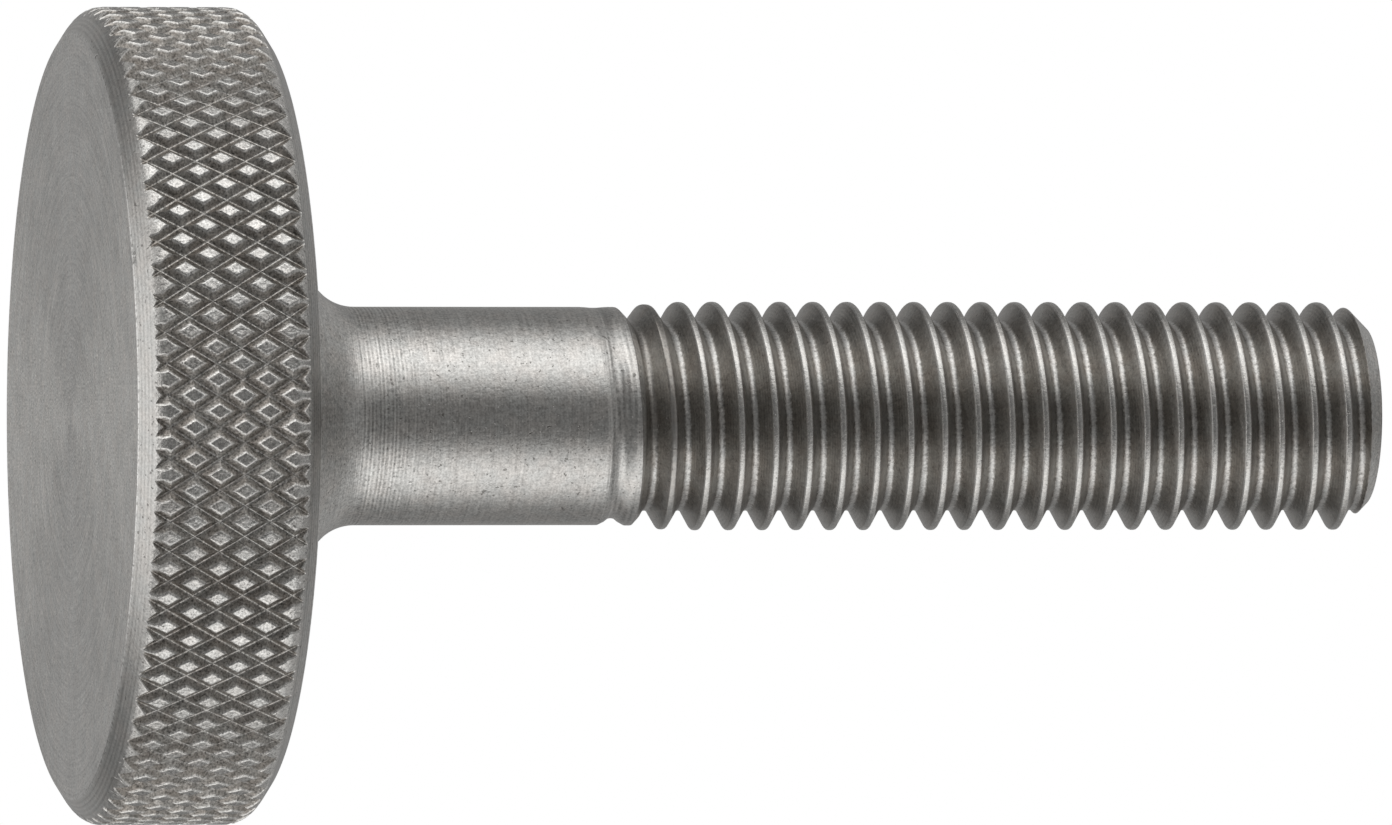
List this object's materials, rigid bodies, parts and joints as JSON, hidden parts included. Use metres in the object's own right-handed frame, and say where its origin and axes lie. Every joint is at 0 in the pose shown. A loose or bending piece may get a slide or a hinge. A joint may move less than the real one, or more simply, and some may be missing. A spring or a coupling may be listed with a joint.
{
  "type": "knurled thumb screw",
  "caption": "Flat knurled thumb screw: a wide thin head with a diamond knurl, a flared neck, a plain shank and a coarse metric thread.",
  "frame": {"origin": "centre of the head's outer face, which the screw stands on", "axes": "+Z along the axis of the screw, from the head to the point of the thread"},
  "size_m": [0.0356, 0.0356, 0.0574],
  "materials": {
    "stainless": "turned, satin"
  },
  "bodies": {
    "root": {"thumb_screw": "stainless"}
  },
  "joints": []
}
